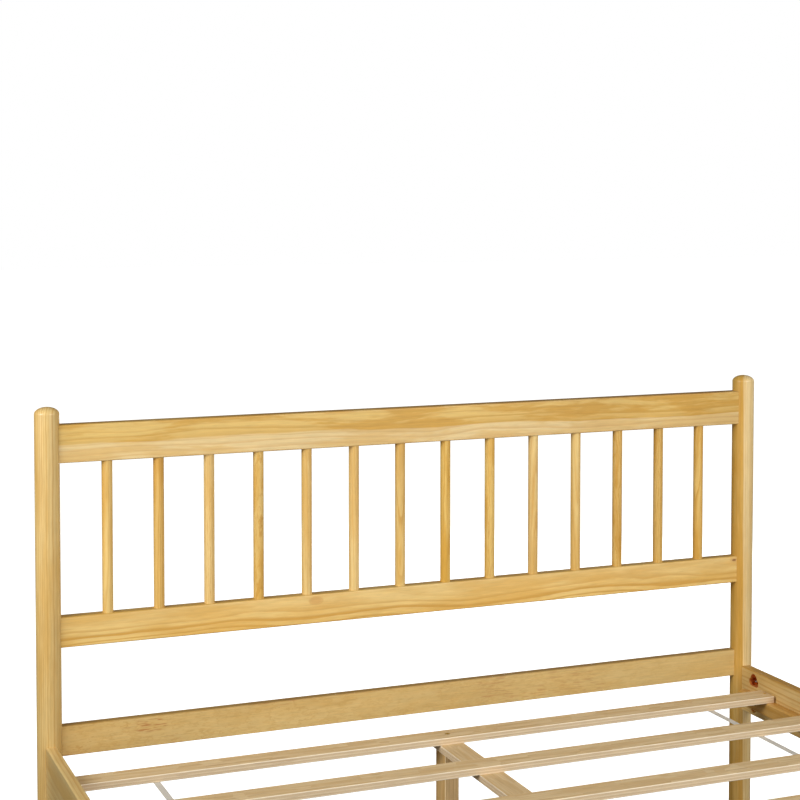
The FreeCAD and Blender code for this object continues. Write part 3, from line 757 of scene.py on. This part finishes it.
def rail_studs():
    """Studs with a rolled thread."""
    pitch, root, tip = 0.001, 0.82, 0.80
    bm = bmesh.new()
    for low, high in islands("rail_studs"):
        radius, length = round_radius(high.z - low.z), high.y - low.y
        profile = [(0.0, 0.0), (radius * tip, 0.0)]
        for i in range(int(length / pitch) - 1):
            profile += [(radius, (i + 0.7) * pitch), (radius * root, (i + 1.2) * pitch)]
        profile += [(radius * tip, length), (0.0, length)]
        aim(bm, turned(bm, profile, 24), *from_post(low, high))
    new_piece("rail_studs.steel", bm, ZINC, "zinc_steel", "rail_studs")


def rail_nuts():
    """Hexagon nuts with turned corners, from (height, corner radius) steps."""
    steps = ((0.0, 0.86), (0.06, 0.93), (0.12, 1.0), (0.88, 1.0), (0.94, 0.93), (1.0, 0.86))
    segments, bore_radius = 48, 0.0031
    bm = bmesh.new()
    for low, high in islands("rail_nuts"):
        corner = max(high.x - low.x, high.z - low.z) / 2
        height = high.y - low.y
        rings = []
        for level, share in steps:
            ring = []
            for i in range(segments):
                a = 2 * pi * i / segments
                flat = corner * cos(pi / 6) / cos((a + pi / 6) % (pi / 3) - pi / 6)
                r = min(flat, corner * share)
                ring.append(bm.verts.new((r * cos(a), r * sin(a), level * height)))
            rings.append(ring)
        bore = [[bm.verts.new(point) for point in circle(bore_radius, level * height, segments)]
                for level in (0.0, 1.0)]
        rings = [bore[0]] + rings + [bore[1], bore[0]]
        skin(bm, rings)
        aim(bm, rings, *from_post(low, high))
    bmesh.ops.recalc_face_normals(bm, faces=bm.faces)
    new_piece("rail_nuts.steel", bm, ZINC_WITH_PAINTED_REFLECTION, "zinc_steel", "rail_nuts")


def half_moon_washers():
    """Half discs across the rail, flat under the nuts, with rounded edges."""
    steps, rounding, flatness = 32, 0.0005, 0.985
    bm = bmesh.new()
    for low, high in islands("half_moon_washers"):
        at_head = low.y + high.y > 0
        flat_y, bulge = (low.y, flatness) if at_head else (high.y, -flatness)
        radius, z = (high.z - low.z) / 2, (low.z + high.z) / 2
        outline = [(bulge * radius * sin(pi * i / steps), radius * cos(pi * i / steps))
                   for i in range(steps + 1)]
        layers = []
        for x, inset in ((low.x, rounding), (low.x + rounding, 0.0),
                         (high.x - rounding, 0.0), (high.x, rounding)):
            share = 1 - inset / radius
            layers.append([bm.verts.new((x, flat_y + y * share, z + h * share))
                           for y, h in outline])
        skin(bm, layers)
        cap(bm, layers)
    bmesh.ops.recalc_face_normals(bm, faces=bm.faces)
    new_piece("half_moon_washers.steel", bm, ZINC_WITH_PAINTED_REFLECTION, "zinc_steel", "half_moon_washers")


def floor_glides():
    """Glides with a rounded foot, from (distance in from the side, height) steps."""
    rounding = ((0.0016, 0.0), (0.0006, 0.0004), (0.0, 0.0014))
    bm = bmesh.new()
    for node in ("post_glides", "leg_glides"):
        for low, high in islands(node):
            middle = (low + high) / 2
            radius, height = (high.x - low.x) / 2, high.z - low.z
            foot = [(radius - inset, z) for inset, z in rounding]
            turned(bm, [(0.0, 0.0)] + foot + [(radius, height), (0.0, height)], 48,
                   Vector((middle.x, middle.y, 0)))
    bmesh.ops.recalc_face_normals(bm, faces=bm.faces)
    new_piece("floor_glides.moulded", bm, GLIDE, "plastic_glide", "post_glides", "leg_glides")


screws_down("slat_screws")
screws_down("centre_leg_screws", rise=0.0009, wider=1.1)
ledger_screws()
rail_studs()
rail_nuts()
half_moon_washers()
floor_glides()

# fixings that keep the frame's own shapes
for node in ("post_inserts", "tape_staples"):
    new_piece(node + ".steel", node_mesh(node), ZINC, "zinc_steel", node)
piece = new_piece("rail_dowels.wood", node_mesh("rail_dowels"), PINE, "beech_dowel", "rail_dowels")
set_grain(piece, Vector((0, 0, 0)), Y, Z, (0.3, 0.02), tone=(0.0, 0.003, 0.9),
          figure=(0.3, 0.0, 0.0))


# ---- Studio -----------------------------------------------------------------------------

def floor():
    """A white floor that glows, and sheds no light of its own on the bed."""
    floor_half_size = 30
    n = Nodes("floor")
    cloud = n.noise(n.add("TexCoord").outputs["Object"], 0.8)
    white = n.mix(cloud, rgb(250, 250, 249), rgb(254, 254, 254))
    material = n.finish(Base_Color=white, Roughness=0.9, Emission_Color=(1, 1, 1, 1),
                        Emission_Strength=0.9)
    bm = bmesh.new()
    bmesh.ops.create_grid(bm, x_segments=8, y_segments=8, size=floor_half_size)
    mesh = bpy.data.meshes.new("floor")
    bm.to_mesh(mesh)
    bm.free()
    mesh.materials.append(material)
    piece = bpy.data.objects.new("floor", mesh)
    piece.visible_diffuse = piece.visible_glossy = False
    link(piece)


def soft_box(name, place, target, size, power, spread, gloss=True):
    """An area light whose rays spread by an angle, with or without a gloss on what it lights."""
    data = bpy.data.lights.new(name, "AREA")
    data.shape, data.size, data.size_y = "RECTANGLE", size[0], size[1]
    data.energy, data.spread = power, radians(spread)
    light = bpy.data.objects.new(name, data)
    light.location = place
    light.visible_glossy = gloss
    light.rotation_mode = "QUATERNION"
    light.rotation_quaternion = (Vector(target) - Vector(place)).to_track_quat("-Z", "Y")
    link(light)


def studio():
    """A white backdrop, a dimmer room that is brightest in front of the bed, and soft boxes.

    Those behind the bed and on its right stay low and give no gloss,
    to light its far sides and leave its top and front as they are."""
    world = bpy.data.worlds.new("studio")
    world.use_nodes = True
    bpy.context.scene.world = world
    tree = world.node_tree
    tree.nodes.clear()
    add, join = tree.nodes.new, tree.links.new
    split = add("ShaderNodeSeparateXYZ")
    join(add("ShaderNodeTexCoord").outputs["Generated"], split.inputs[0])
    height = add("ShaderNodeMapRange")
    height.inputs["From Min"].default_value = -1.0
    join(split.outputs["Z"], height.inputs["Value"])
    ramp = add("ShaderNodeValToRGB")
    join(height.outputs[0], ramp.inputs[0])
    # the room's brightness, from straight below to straight above
    steps = ((0.0, 0.16), (0.45, 0.25), (0.53, 0.58), (0.75, 0.48), (1.0, 0.28))
    while len(ramp.color_ramp.elements) < len(steps):
        ramp.color_ramp.elements.new(0.5)
    for element, (position, value) in zip(ramp.color_ramp.elements, steps):
        element.position = position
        element.color = (value, value, value, 1)
    side = add("ShaderNodeMapRange")
    for key, value in (("From Min", -0.6), ("From Max", 0.8), ("To Min", 1.0), ("To Max", 0.15)):
        side.inputs[key].default_value = value
    join(split.outputs["Y"], side.inputs["Value"])
    room, backdrop = add("ShaderNodeBackground"), add("ShaderNodeBackground")
    join(ramp.outputs[0], room.inputs["Color"])
    join(side.outputs[0], room.inputs["Strength"])
    backdrop.inputs["Color"].default_value = (1, 1, 1, 1)
    mix = add("ShaderNodeMixShader")
    join(add("ShaderNodeLightPath").outputs["Is Camera Ray"], mix.inputs[0])
    join(room.outputs[0], mix.inputs[1])
    join(backdrop.outputs[0], mix.inputs[2])
    join(mix.outputs[0], add("ShaderNodeOutputWorld").inputs[0])
    soft_box("left_box", (-2.7, 0.1, 1.75), (-0.4, 1.0, 0.85), (1.3, 1.3), 14, 90)
    soft_box("front_box", (1.2, -2.1, 1.80), (0.2, 1.0, 0.75), (1.4, 1.4), 18, 100)
    soft_box("back_box", (2.2, 4.3, 0.5), (0.0, 1.0, 0.55), (2.4, 0.8), 22, 90, gloss=False)
    soft_box("right_box", (4.2, 2.4, 0.5), (0.8, -0.3, 0.35), (2.4, 0.8), 7, 90, gloss=False)


def camera():
    """The photograph's view, from a fit of the bed's edges."""
    data = bpy.data.cameras.new("camera")
    data.sensor_width, data.lens, data.shift_y = 36.0, 78.4153, -0.1625
    data.clip_start, data.clip_end = 0.05, 100.0
    yaw, pitch, roll = radians(21.9397), radians(2.6065), radians(0.0149)
    forward = Vector((sin(yaw) * cos(pitch), cos(yaw) * cos(pitch), -sin(pitch)))
    right = Vector((cos(yaw), -sin(yaw), 0))
    up = right.cross(forward)
    turned_right = right * cos(roll) + up * sin(roll)
    turned_up = up * cos(roll) - right * sin(roll)
    matrix = Matrix((turned_right, turned_up, -forward)).transposed().to_4x4()
    matrix.translation = (-1.44942, -2.43559, 1.47008)
    view = bpy.data.objects.new("camera", data)
    link(view)
    view.matrix_world = matrix
    bpy.context.scene.camera = view


floor()
studio()
camera()
bpy.context.scene.view_settings.view_transform = "Standard"
